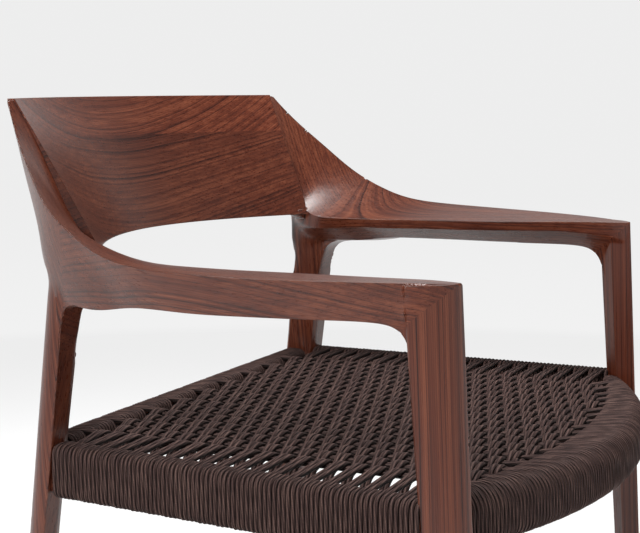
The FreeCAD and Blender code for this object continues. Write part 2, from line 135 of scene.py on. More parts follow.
def walnut(name, along, heart, pitch, wander, tone, seed):
    """Satin walnut. The grain runs along one direction; the rings lie round a line through heart.

    pitch: width of a ring in mm; wander: how much the rings stray; tone: how light it is.
    """
    g = Graph(name)
    turn = Vector(along).normalized().to_track_quat("Z", "Y").inverted().to_matrix()
    shift = -(turn @ Vector(heart))
    place = g.node("ShaderNodeTexCoord").outputs["Object"]
    straight = g.node("ShaderNodeMapping", {"Vector": place, "Location": tuple(shift)})
    straight.inputs["Rotation"].default_value = turn.to_euler()
    log = straight.outputs[0]

    def stretched(amount):
        made = g.node("ShaderNodeMapping", {"Vector": log, "Scale": (1.0, 1.0, amount)})
        made.inputs["Location"].default_value = (seed, -seed, 0.37 * seed)
        return made.outputs[0]

    def push(vector, scale, stretch, amount):
        noise = g.noise(stretched(stretch), scale, 2.0)
        away = g.vector("SUBTRACT", noise.outputs["Color"], (0.5, 0.5, 0.5))
        away = g.node("ShaderNodeVectorMath", {0: away}, operation="SCALE")
        away.inputs["Scale"].default_value = amount * wander
        return g.vector("ADD", vector, away.outputs[0])

    bent = push(push(log, 7.0, 0.30, 0.030), 45.0, 0.16, 0.0045)
    flat = g.vector("MULTIPLY", bent, (1, 1, 0))
    radius = g.node("ShaderNodeVectorMath", {0: flat}, operation="LENGTH").outputs["Value"]
    turns = g.math("DIVIDE", radius, pitch * MM)
    wide = g.node("ShaderNodeTexNoise", {"Scale": 1.0}, noise_dimensions="1D")
    g.feed(wide.inputs["W"], g.math("MULTIPLY", turns, 0.8))
    saw = g.math("FRACT", g.math("ADD", turns, g.math("MULTIPLY", wide.outputs[0], 1.6)))
    ring = g.ramp(saw, [(0.0, grey(0.50)), (0.35, grey(0.64)), (0.75, grey(0.40)), (0.92, grey(0.05)),
                        (1.0, grey(0.50))])
    strength = g.node("ShaderNodeTexNoise", {"Scale": 1.0, "Detail": 1.0}, noise_dimensions="1D")
    g.feed(strength.inputs["W"], g.math("MULTIPLY", turns, 0.37))
    bold = g.remap(strength.outputs[0], 0.3, 0.7, 0.30, 1.0)
    minor = g.math("SINE", g.math("MULTIPLY", turns, 2 * math.pi * 3.3))

    fibre = g.noise(stretched(0.012), 700.0, 3.0).outputs[0]
    streak = g.noise(stretched(0.02), 190.0, 2.0).outputs[0]
    pores = g.noise(stretched(0.04), 1500.0, 1.0).outputs[0]
    pore = g.remap(pores, 0.60, 0.72, 0.0, 1.0)
    patch = g.noise(stretched(0.25), 12.0, 2.0).outputs[0]

    base = g.math("MULTIPLY", g.math("SUBTRACT", ring, 0.5), bold)
    base = g.math("ADD", g.math("MULTIPLY", base, 1.10), 0.53)
    base = g.math("ADD", base, g.math("MULTIPLY", minor, 0.065))
    for uneven, share in ((streak, 0.60), (fibre, 0.50), (patch, 0.45)):
        base = g.math("ADD", base, g.math("MULTIPLY", g.math("SUBTRACT", uneven, 0.5), share))
    dark, mid, light = [tuple(c * tone for c in color) for color in (WOOD_DARK, WOOD_MID, WOOD_LIGHT)]
    color = g.ramp(base, [(0.08, dark), (0.5, mid), (0.98, light)])
    color = g.mix("MULTIPLY", g.math("MULTIPLY", pore, 0.25), color, WOOD_PORE)
    rounded_edge = g.node("ShaderNodeBevel", samples=6)
    rounded_edge.inputs["Radius"].default_value = EDGE_RADIUS
    plain = g.node("ShaderNodeNewGeometry").outputs["Normal"]
    lean = g.node("ShaderNodeVectorMath", {0: rounded_edge.outputs[0], 1: plain}, operation="DOT_PRODUCT")
    worn = g.remap(lean.outputs["Value"], 0.80, 0.99, 0.22, 0.0)
    color = g.mix("MIX", worn, color, WOOD_WORN)
    g.feed(g.shader.inputs["Base Color"], color)
    gloss = g.remap(fibre, 0.3, 0.7, 0.26, 0.34)
    g.feed(g.shader.inputs["Roughness"], g.math("ADD", gloss, g.math("MULTIPLY", pore, 0.15)))
    g.shader.inputs["Specular IOR Level"].default_value = 0.38
    depth = g.math("SUBTRACT", g.math("MULTIPLY", fibre, 0.5), g.math("MULTIPLY", pore, 0.8))
    bump = g.node("ShaderNodeBump", {"Height": depth, "Strength": 0.07, "Distance": 0.0004,
                                     "Normal": rounded_edge.outputs[0]})
    g.feed(g.shader.inputs["Normal"], bump.outputs[0])
    return g.material


def dress(target, material):
    """Give a piece one material."""
    target.data.materials.clear()
    target.data.materials.append(material)


# ---------------------------------------------------------------- shaped wood
# The show wood is blended into one skin first, as when the joints are glued and sanded. The skin is
# drawn onto the surface of the CAD pieces and cut along their crisp edges, and it melts a little where
# arm, wing and leg run together. Then it is parted along the glue lines into the same pieces as in the
# CAD model.
SKIN = 0.0015           # spacing of the points of the skin
SNAP = 0.25 * SKIN      # points nearer than this to a crisp line are moved onto it
REACH = 2.5 * SKIN      # points nearer than this to a crisp line may lie on two sides of it
CRISP = 0.88            # cosine of the turn between neighbours; below it a crisp line runs between them
RIDGE = 0.5             # turn between two faces that is shaded as an edge
MELTS = 0.3             # share of flow above which a crisp line is left to melt
CREASE = 0.6            # turn between two CAD faces that makes their edge a crisp line
LINE_STEP = 0.0003      # spacing of the points along a crisp line
MERGE = 0.00001         # CAD points nearer than this are the same point
WELD = 0.00002          # points of a shaped piece nearer than this are made one
MARGIN = 0.02           # how far round a CAD piece its distance is worth finding
FAR_OFF = 1.0           # distance noted for a point outside that margin
NEARLY_ZERO = 1e-9
SETTLE = (3, 0.5)       # rounds and rate that take the steps out of the raw skin
EASE = (3, 0.45)        # rounds and rate away from the crisp lines
MELT = (60, 0.5)        # rounds and rate in the flowing places

# flowing places on the left half, seat coordinates in metres: centre, full strength within, none beyond
ARM_INTO_LEG = ((0.272, 0.152, 0.612), 0.030, 0.058)
BACK_INTO_LEG = ((0.228, 0.150, 0.606), 0.012, 0.034)
BACK_SWEEP_END = ((0.238, 0.170, 0.575), 0.012, 0.028)
ARM_SWEEP_END = ((0.244, 0.136, 0.560), 0.016, 0.030)
MITRE_STEP = ((0.290, -0.1945, 0.612), 0.018, 0.030)

WOOD = ["back_board_upper", "back_board_lower"]
for side in ("left", "right"):
    WOOD += [f"back_leg_{side}", f"arm_{side}", f"front_leg_{side}"]


def blended_skin():
    """One closed skin of small squares round all the show wood together."""
    copies = []
    for name in WOOD:
        copy = bpy.data.objects.new("blend_" + name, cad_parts[name].data.copy())
        bpy.context.scene.collection.objects.link(copy)
        copy.matrix_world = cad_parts[name].matrix_world
        copies.append(copy)
    bpy.ops.object.select_all(action="DESELECT")
    for copy in copies:
        copy.select_set(True)
    bpy.context.view_layer.objects.active = copies[0]
    bpy.ops.object.join()
    whole = bpy.context.view_layer.objects.active
    remesh = whole.modifiers.new("skin", "REMESH")
    remesh.mode = "VOXEL"
    remesh.voxel_size = SKIN
    remesh.adaptivity = 0.0
    shown = whole.evaluated_get(bpy.context.evaluated_depsgraph_get())
    mesh = bpy.data.meshes.new_from_object(shown)
    bpy.data.objects.remove(whole)
    return mesh


def rising(values, start, length):
    return np.clip((values - start) / length, 0, 1)


def falling(values, start, length):
    return np.clip((start - values) / length, 0, 1)


def smooth_step(t):
    t = np.clip(t, 0.0, 1.0)
    return t * t * (3 - 2 * t)


def ball(verts, centre, inside, outside):
    """1 near the centre, falling smoothly to 0."""
    far = np.linalg.norm(verts - np.array(centre), axis=1)
    return smooth_step((outside - far) / (outside - inside))


def flowing(verts):
    """How far each point belongs to the places where arm, wing and back leg run into each other."""
    folded = np.stack([np.abs(verts[:, 0]), verts[:, 1] - Y_SHIFT * MM, verts[:, 2]], axis=1)
    out, _, up = folded.T
    strong = ball(folded, *ARM_INTO_LEG) * (rising(out, 0.250, 0.012) * rising(up, 0.592, 0.012))
    strong = np.maximum(strong, ball(folded, *BACK_INTO_LEG) * falling(up, 0.625, 0.010))
    strong = np.maximum(strong, ball(folded, *BACK_SWEEP_END))
    strong = np.maximum(strong, 0.4 * ball(folded, *ARM_SWEEP_END))
    face = falling(up, 0.621, 0.006) * rising(up, 0.602, 0.006)
    return np.maximum(strong, 0.5 * ball(folded, *MITRE_STEP) * face)[:, None]


def crisp_line_points():
    """Closely spaced points along the crisp edges of the show wood."""
    points = []
    for name in WOOD:
        body = bmesh.new()
        body.from_mesh(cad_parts[name].data)
        bmesh.ops.remove_doubles(body, verts=body.verts, dist=MERGE)
        for e in body.edges:
            if len(e.link_faces) == 2 and e.calc_face_angle(0.0) > CREASE:
                a, b = e.verts[0].co, e.verts[1].co
                steps = max(1, int((b - a).length / LINE_STEP))
                points.extend(a.lerp(b, i / steps) for i in range(steps))
        body.free()
    return points


def relaxed(verts, edges, rounds, rate):
    """Move each point towards the middle of its neighbours, so many times."""
    count = len(verts)
    degree = np.maximum(np.bincount(edges.ravel(), minlength=count), 1).astype(float)[:, None]
    for _ in range(rounds):
        total = np.zeros_like(verts)
        for axis in range(3):
            total[:, axis] += np.bincount(edges[:, 0], verts[edges[:, 1], axis], count)
            total[:, axis] += np.bincount(edges[:, 1], verts[edges[:, 0], axis], count)
        verts = verts + (total / degree - verts) * rate
    return verts


def true_surface():
    """Search tree of the faces of all the CAD show wood."""
    corners = []
    triangles = []
    for name in WOOD:
        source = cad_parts[name].data
        source.calc_loop_triangles()
        base = len(corners)
        corners.extend(v.co for v in source.vertices)
        triangles.extend([base + v for v in t.vertices] for t in source.loop_triangles)
    return BVHTree.FromPolygons(corners, triangles)


def true_lines():
    """Search tree of the points along the crisp edges."""
    crisp = crisp_line_points()
    lines = KDTree(len(crisp))
    for i, point in enumerate(crisp):
        lines.insert(point, i)
    lines.balance()
    return lines


def split_at(ring, place, on_line):
    """Faces of one ring of points once the points on the crisp line that crosses it are put in."""
    loop = []
    marks = []
    for p, q in zip(ring, ring[1:] + ring[:1]):
        if on_line[p]:
            marks.append(len(loop))
        loop.append(p)
        if (p, q) in place:
            marks.append(len(loop))
            loop.append(place[(p, q)])
    if len(marks) == 2 and 1 < marks[1] - marks[0] < len(loop) - 1:
        i, j = marks
        return [loop[i:j + 1], loop[j:] + loop[:i + 1]]
    return [loop]


def shaped(verts, edges, rings):
    """Draw the skin onto the true surface, cut it along the crisp lines and let the flowing places melt."""
    strong = flowing(verts)
    verts = relaxed(verts, edges, *SETTLE)
    surface = true_surface()
    lines = true_lines()
    target = np.empty_like(verts)
    normal = np.empty_like(verts)
    far = np.empty(len(verts))
    for i, point in enumerate(verts):
        target[i], normal[i] = surface.find_nearest(Vector(point))[:2]
        near, _, far[i] = lines.find(Vector(target[i]))
        if far[i] < SNAP and strong[i] < MELTS:
            target[i] = near
    on_line = (far < SNAP) & (strong[:, 0] < MELTS)
    verts = target * (1 - strong) + verts * strong
    a, b = edges.T
    turn = np.einsum("ij,ij->i", normal[a], normal[b])
    crossing = (turn < CRISP) & (np.maximum(far[a], far[b]) < REACH) & ~on_line[a] & ~on_line[b]
    crossing &= np.maximum(strong[a, 0], strong[b, 0]) < MELTS
    extra = []
    place = {}
    for p, q in edges[crossing].tolist():
        place[(p, q)] = place[(q, p)] = len(verts) + len(extra)
        extra.append(lines.find(Vector((verts[p] + verts[q]) / 2))[0])
    rings = [part for ring in rings for part in split_at(ring, place, on_line)]
    calm = np.clip((far - SKIN) / SKIN, 0, 1)[:, None]
    verts = relaxed(verts, edges, EASE[0], EASE[1] * calm)
    verts = relaxed(verts, edges, MELT[0], MELT[1] * strong)
    return np.vstack([verts, np.array(extra)]), rings


def parted(mesh):
    """Cut the skin where the nearest CAD piece changes, and return points and faces for each piece."""
    count = len(mesh.vertices)
    verts = np.empty(count * 3)
    mesh.vertices.foreach_get("co", verts)
    verts = verts.reshape(-1, 3)
    edges = np.empty(len(mesh.edges) * 2, np.int64)
    mesh.edges.foreach_get("vertices", edges)
    rings = [list(polygon.vertices) for polygon in mesh.polygons]
    verts, rings = shaped(verts, edges.reshape(-1, 2), rings)
    count = len(verts)
    distance = np.empty((len(WOOD), count))
    for i, name in enumerate(WOOD):
        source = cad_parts[name].data
        source.calc_loop_triangles()
        corners = [v.co for v in source.vertices]
        tree = BVHTree.FromPolygons(corners, [t.vertices for t in source.loop_triangles])
        lo = np.min(corners, axis=0) - MARGIN
        hi = np.max(corners, axis=0) + MARGIN
        near = np.all((verts > lo) & (verts < hi), axis=1)
        distance[i] = FAR_OFF
        distance[i][near] = [tree.find_nearest(Vector(p))[3] for p in verts[near]]
    owner = np.argmin(distance, axis=0)
    pieces = [[] for _ in WOOD]
    extra = []
    crossing = {}

    def cut(a, b):
        """The point between a and b that is as near to the one piece as to the other."""
        key = (min(a, b), max(a, b))
        if key not in crossing:
            a, b = key
            da = distance[owner[b], a] - distance[owner[a], a]
            db = distance[owner[a], b] - distance[owner[b], b]
            t = da / max(da + db, NEARLY_ZERO)
            extra.append(verts[a] * (1 - t) + verts[b] * t)
            crossing[key] = count + len(extra) - 1
        return crossing[key]

    for ring in rings:
        kinds = {int(owner[v]) for v in ring}
        if len(kinds) == 1:
            pieces[kinds.pop()].append(ring)
            continue
        if len(kinds) > 2:
            pieces[int(owner[ring[0]])].append(ring)
            continue
        for kind in kinds:
            part = []
            for a, b in zip(ring, ring[1:] + ring[:1]):
                if owner[a] == kind:
                    part.append(a)
                if owner[a] != owner[b]:
                    part.append(cut(a, b))
            if len(part) > 2:
                pieces[kind].append(part)
    return np.vstack([verts, np.array(extra)]), pieces


def show_wood(name, points, faces, material):
    """Put one shaped piece in the place of its CAD node."""
    used = sorted({v for face in faces for v in face})
    place = {v: i for i, v in enumerate(used)}
    mesh = bpy.data.meshes.new("shaped_" + name)
    mesh.from_pydata(points[used].tolist(), [], [[place[v] for v in face] for face in faces])
    body = bmesh.new()
    body.from_mesh(mesh)
    bmesh.ops.remove_doubles(body, verts=body.verts, dist=WELD)
    for f in body.faces:
        f.smooth = True
    for e in body.edges:
        e.smooth = len(e.link_faces) != 2 or e.calc_face_angle(0.0) < RIDGE
    body.to_mesh(mesh)
    body.free()
    made = bpy.data.objects.new("shaped_" + name, mesh)
    bpy.context.scene.collection.objects.link(made)
    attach(made, "root")
    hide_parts(name)
    dress(made, material)


# each: name, direction of the grain, heart of the log, pitch, wander, tone, seed
timber = {
    "back_board_upper": walnut("walnut_top", (1, 0.02, 0.02), (0.02, 0.352, 0.800), 6.0, 0.50, 1.06, 0.3),
    "back_board_lower": walnut("walnut_low", (1, -0.03, 0.02), (0.0, -0.02, 0.30), 5.0, 0.60, 0.78, 1.7),
}
for side, sign in (("left", 1), ("right", -1)):
    timber[f"back_leg_{side}"] = walnut(f"walnut_back_{side}", (sign * -0.05, 0.10, 1),
                                        (sign * 0.75, -0.25, 0.5), 4.6, 0.25, 0.86, 2.1 + sign)
    timber[f"arm_{side}"] = walnut(f"walnut_arm_{side}", (sign * 0.04, 1, 0.07),
                                   (sign * 0.05, 0, 1.15), 4.2, 0.30, 0.88, 4.3 + sign)
    timber[f"front_leg_{side}"] = walnut(f"walnut_front_{side}", (0, 0.04, 1),
                                         (sign * 0.05, -0.75, 0.3), 5.2, 0.25, 0.84, 6.2 + sign)
    rail = walnut(f"walnut_rail_{side}", (0, 1, 0), (sign * 0.2, 0, 0.3), 6.0, 0.4, 0.85, 8.4 + sign)
    dress(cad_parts[f"side_rail_{side}"], rail)
rail = walnut("walnut_rail_cross", (1, 0, 0), (0, 0.1, 0.2), 6.0, 0.4, 0.85, 9.9)
dress(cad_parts["front_rail"], rail)
dress(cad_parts["back_rail"], rail)

skin_points, skin_faces = parted(blended_skin())
for name, faces in zip(WOOD, skin_faces):
    show_wood(name, skin_points, faces, timber[name])


def simple(node, name, dark, light, rough, grain):
    """A small hidden piece: dowels and glides, with a fine mottled finish."""
    g = Graph(name)
    place = g.node("ShaderNodeTexCoord").outputs["Object"]
    spread = g.noise(place, grain, 4.0).outputs[0]
    g.feed(g.shader.inputs["Base Color"], g.ramp(spread, [(0.3, dark), (0.7, light)]))
    g.feed(g.shader.inputs["Roughness"], g.remap(spread, 0.3, 0.7, rough - 0.08, rough + 0.08))
    bump = g.node("ShaderNodeBump", {"Height": spread, "Strength": 0.2, "Distance": 0.0002})
    g.feed(g.shader.inputs["Normal"], bump.outputs[0])
    dress(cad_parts[node], g.material)


simple("joint_dowels", "beech", (0.45, 0.30, 0.17), (0.66, 0.48, 0.30), 0.6, 900)
simple("foot_glides", "nylon", (0.035, 0.030, 0.028), (0.060, 0.054, 0.050), 0.45, 1400)


# ---------------------------------------------------------------- cord
CORD_DARK = (0.010, 0.0052, 0.0048)
CORD_MID = (0.042, 0.0215, 0.0190)
CORD_PALE = (0.150, 0.092, 0.074)
CORD_CONTACT_SHADE = (0.0035, 0.0018, 0.0016, 1.0)


def cord_material():
    """Dark brown cord: six strands twist round it, with paler fibres; painted shade in the grooves and where
    it meets the next.
    """
    g = Graph("dark_cord")
    coords = g.node("ShaderNodeTexCoord")
    uv = g.node("ShaderNodeSeparateXYZ", {0: coords.outputs["UV"]})
    around, along = uv.outputs[0], uv.outputs[1]
    plies = g.math("ADD", g.math("MULTIPLY", around, 6.0), g.math("MULTIPLY", along, 0.45))
    wave = g.math("SINE", g.math("MULTIPLY", plies, 2 * math.pi))
    height = g.remap(wave, -1.0, 0.7, 0.0, 1.0)
    place = coords.outputs["Object"]
    speck = g.noise(place, 1500.0, 3.0).outputs[0]
    area = g.noise(place, 70.0, 2.0).outputs[0]
    # the strands' height also lightens their crests and darkens the grooves between them in colour: painted
    # shade
    level = g.math("ADD", g.math("MULTIPLY", height, 0.30), g.math("MULTIPLY", speck, 0.55))
    level = g.math("ADD", level, g.math("MULTIPLY", g.math("SUBTRACT", area, 0.5), 0.35))
    # painted shade: the sides of the cord that face its neighbours are darkened
    shaded_side = g.math("ABSOLUTE", g.math("COSINE", g.math("MULTIPLY", around, 2 * math.pi)))
    contact_shade = g.remap(g.math("POWER", shaded_side, 2.0), 0.0, 1.0, 1.0, 0.10)
    color = g.ramp(level, [(0.12, CORD_DARK), (0.48, CORD_MID), (0.85, CORD_PALE)])
    color = g.mix("MIX", contact_shade, CORD_CONTACT_SHADE, color)
    g.feed(g.shader.inputs["Base Color"], color)
    g.feed(g.shader.inputs["Roughness"], g.remap(speck, 0.3, 0.7, 0.62, 0.82))
    g.shader.inputs["Specular IOR Level"].default_value = 0.15
    relief = g.math("ADD", g.math("MULTIPLY", height, 0.7), g.math("MULTIPLY", speck, 0.3))
    bump = g.node("ShaderNodeBump", {"Height": relief, "Strength": 0.7, "Distance": 0.0006})
    g.feed(g.shader.inputs["Normal"], bump.outputs[0])
    return g.material


CORD = cord_material()

# ---------------------------------------------------------------- woven seat, in millimetres
CORD_D = 4.35           # one turn of cord on a rail
HALF = 2.16             # half the thickness of the cord
PLANE = 456.2           # middle of the weave
ROW = 2 * CORD_D        # one pair of cross cords
ROW_Y = 0.2
ROW_FIRST = -28
ROW_LAST = 16
ROW_RAIL = -23          # the first row that reaches the side rails
WARP_FIRST = -208.0
WARP_STEP = 24.47
WARP_COUNT = 18
LIFT = 3.6              # how far a cross cord rises over a warp pair
OPEN_OUT = 0.75         # how far the two cords of a pair part where they lie on top
RAIL_LOW = 412.5 + HALF
RAIL_HIGH = 461.5 - HALF
RAIL_HALF = 14.0 - HALF
RAIL_TURN = 5.85        # radius of a turn of cord at the corners of a rail
FRONT_RADII = [3.8, 11.8, 15.8, 3.8]  # the same at the front rail, from inner low to inner high
TUCK = 3.5              # how far below the top an open turn starts or ends on the inner face
STEP = 3.0              # spacing of the points along a cord
FINE_STEP = 1.5         # the same before the path is eased and thinned
SAME_POINT = 1e-6
ARC_PARTS = 6           # parts into which a rounded corner is divided
SIDES = 8               # sides of the tube

BOW_Y = 205.0           # the front rail bows about this place in y ...
FRONT_R = 505.0         # ... with this outer radius
INNER_R = 690.0         # radius of its flatter inner face
INNER_BACK = 232.0      # how far behind BOW_Y that radius has its middle
FRONT_SPREAD = 268.0    # half the length of cord turns along the front rail
BACK_SPREAD = 237.0     # the same along the back rail
BACK_RAIL_Y = 165.0

WARP_EDGE = 208.0       # beyond this x the cross cords leave the outermost warps
WEFT_END = 244.0        # where the woven run ends on a row that reaches the rails
WEFT_CORNER = 243.0     # the furthest that a row beside the front corner goes
FRONT_CLEAR = 5.5       # gap kept to the inner face of the front rail
TOP_RUN_END = 247.0     # where the run over a side rail's top ends
BACK_GROUP = -6         # rows from this one on belong to the back group of cross cords
WIDEN = 0.38            # how much wider a cross cord is where it lies on top
CLOSED_X = 262.0        # beyond this x the two cords of a pair lie close together ...
CLOSED_FADE = 26.0      # ... which takes this length
NEARLY_X = 224.0        # most of the gap has closed already at this x ...
NEARLY_FADE = 14.0      # ... over this length
SLIDE_X = 213.0         # beyond this x a row that dives slides towards its next place ...
SLIDE_FADE = 46.0       # ... over this length
FILL_FRONT = -206.4     # place of the extra turn at the front of a side rail
FILL_BACK = 137.2       # place of the first extra turn at its back
SHORT_SINK = 3.0        # how far a short row comes down at the end that lies on top ...
SHORT_SINK_LENGTH = 30.0    # ... over this length
SHORT_DIVE = 10.0       # how far it dives at its other end ...
SHORT_DIVE_LENGTH = 36.0    # ... over this length
WARP_TURN = 24.0        # length over which a warp leaves the front rail's direction
WARP_END = 147.0        # where the woven part of a warp ends
RISE_Y = 128.0          # where a warp starts to rise to the top of the back rail ...
RISE_LENGTH = 18.0      # ... over this length
DROP_Y = 138.0          # where the others start to dive under it ...
DROP_LENGTH = 12.0      # ... over this length


def side_rail_x(y):
    """Middle of a side rail. The rails come nearer to each other towards the back."""
    return 277.0 - 19.0 * (y + 205.0) / 355.0


def front_inner(angle):
    """Distance from the middle of the bow to the front rail's inner face."""
    across = INNER_BACK * math.sin(angle)
    return -INNER_BACK * math.cos(angle) + math.sqrt(INNER_R ** 2 - across ** 2)


def rounded(corners, radii, closed):
    """Points of a polyline with its corners rounded, a few for each corner."""
    count = len(corners)
    points = []
    for i, corner in enumerate(corners):
        corner = np.array(corner, float)
        if not closed and i in (0, count - 1):
            points.append(corner)
            continue
        back = np.array(corners[i - 1], float) - corner
        ahead = np.array(corners[(i + 1) % count], float) - corner
        back = back / np.linalg.norm(back)
        ahead = ahead / np.linalg.norm(ahead)
        half_turn = math.acos(max(-1.0, min(1.0, float(back @ ahead)))) / 2
        reach = radii[i] / math.tan(half_turn)
        middle = (back + ahead) / np.linalg.norm(back + ahead)
        centre = corner + middle * radii[i] / math.sin(half_turn)
        start = corner + back * reach
        end = corner + ahead * reach
        for k in range(ARC_PARTS + 1):
            t = k / ARC_PARTS
            ray = (start - centre) * (1 - t) + (end - centre) * t
            points.append(centre + ray / np.linalg.norm(ray) * radii[i])
    return np.array(points)


def even(points, step=STEP, closed=False):
    """The same path with points at an even spacing."""
    points = np.asarray(points, float)
    if closed:
        points = np.vstack([points, points[:1]])
    gaps = np.linalg.norm(np.diff(points, axis=0), axis=1)
    keep = np.concatenate([[True], gaps > SAME_POINT])
    points = points[keep]
    gaps = np.linalg.norm(np.diff(points, axis=0), axis=1)
    run = np.concatenate([[0.0], np.cumsum(gaps)])
    count = max(4, int(round(run[-1] / step)))
    stops = np.linspace(0.0, run[-1], count + 1)
    if closed:
        stops = stops[:-1]
    return np.stack([np.interp(stops, run, points[:, i]) for i in range(points.shape[1])], axis=1)


def eased(points):
    """The path with its small kinks relaxed, ends kept, and every other point left out."""
    for _ in range(2):
        inner = (points[:-2] + 2 * points[1:-1] + points[2:]) / 4
        points = np.vstack([points[:1], inner, points[-1:]])
    return points[::2]


class Cords:
    """Many cords gathered into one mesh."""

    def __init__(self, name):
        self.name = name
        self.verts = []
        self.faces = []
        self.uvs = []
        self.count = 0

    def add(self, path, across, closed=False, width=1.0):
        """path: points in mm; across: the direction in which neighbours lie; width: widening that way."""
        path = np.asarray(path, float)
        count = len(path)
        across = np.broadcast_to(np.asarray(across, float), (count, 3))
        width = np.broadcast_to(np.asarray(width, float), (count,))
        if closed:
            ahead = np.roll(path, -1, axis=0) - np.roll(path, 1, axis=0)
        else:
            ahead = np.gradient(path, axis=0)
        ahead = ahead / np.linalg.norm(ahead, axis=1)[:, None]
        side = across - ahead * np.sum(across * ahead, axis=1)[:, None]
        side = side / np.linalg.norm(side, axis=1)[:, None]
        up = np.cross(ahead, side)
        size = HALF * (1.0 + 0.02 * rng.standard_normal())
        turns = np.arange(SIDES) * 2 * math.pi / SIDES
        ring = np.cos(turns)[None, :, None] * side[:, None, :] * (size * width)[:, None, None]
        ring = ring + np.sin(turns)[None, :, None] * up[:, None, :] * size
        tube = path[:, None, :] + ring
        self.verts.append(tube.reshape(-1, 3))
        steps = np.linalg.norm(np.roll(path, -1, axis=0) - path, axis=1)
        run = np.concatenate([[0.0], np.cumsum(steps)]) / 10.0 + rng.uniform(0, 5)
        rows = count if closed else count - 1
        a = np.arange(rows)[:, None]
        b = (a + 1) % count
        k = np.arange(SIDES)[None, :]
        k2 = (k + 1) % SIDES
        quads = np.stack([a * SIDES + k, b * SIDES + k, b * SIDES + k2, a * SIDES + k2], axis=2)
        self.faces.extend((quads.reshape(-1, 4) + self.count).tolist())
        u0 = np.broadcast_to(k / SIDES, (rows, SIDES))
        v0 = np.broadcast_to(run[:rows, None], (rows, SIDES))
        v1 = np.broadcast_to(run[1:rows + 1, None], (rows, SIDES))
        u1 = u0 + 1.0 / SIDES
        corners = np.stack([u0, v0, u0, v1, u1, v1, u1, v0], axis=2)
        self.uvs.append(corners.reshape(-1))
        if not closed:
            first = [self.count + i for i in range(SIDES)]
            last = [self.count + rows * SIDES + i for i in reversed(range(SIDES))]
            self.faces.append(first)
            self.faces.append(last)
            self.uvs.append(np.full(4 * SIDES, 0.5))
        self.count += count * SIDES

    def finish(self):
        """Make the piece. It stands in the place of the CAD seat with the other groups of cord."""
        verts = np.vstack(self.verts)
        verts[:, 1] += Y_SHIFT
        mesh = bpy.data.meshes.new(self.name)
        mesh.from_pydata((verts * MM).tolist(), [], self.faces)
        layer = mesh.uv_layers.new(name="cord")
        layer.data.foreach_set("uv", np.concatenate(self.uvs).astype(np.float32))
        mesh.polygons.foreach_set("use_smooth", [True] * len(mesh.polygons))
        mesh.materials.append(CORD)
        mesh.update()
        made = bpy.data.objects.new(self.name, mesh)
        bpy.context.scene.collection.objects.link(made)
        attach(made, "root")
        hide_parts("woven_seat")


def jitter(size=0.12):
    """A small random shift in mm, so that no two cords lie quite alike."""
    return size * float(np.clip(rng.standard_normal(), -2, 2))


def side_ring(centre, sign):
    """Corners of a turn round a side rail, from its lower inner edge outwards and over the top."""
    inner = sign * (centre - RAIL_HALF)
    outer = sign * (centre + RAIL_HALF)
    return [(inner, RAIL_LOW), (outer, RAIL_LOW), (outer, RAIL_HIGH), (inner, RAIL_HIGH)]


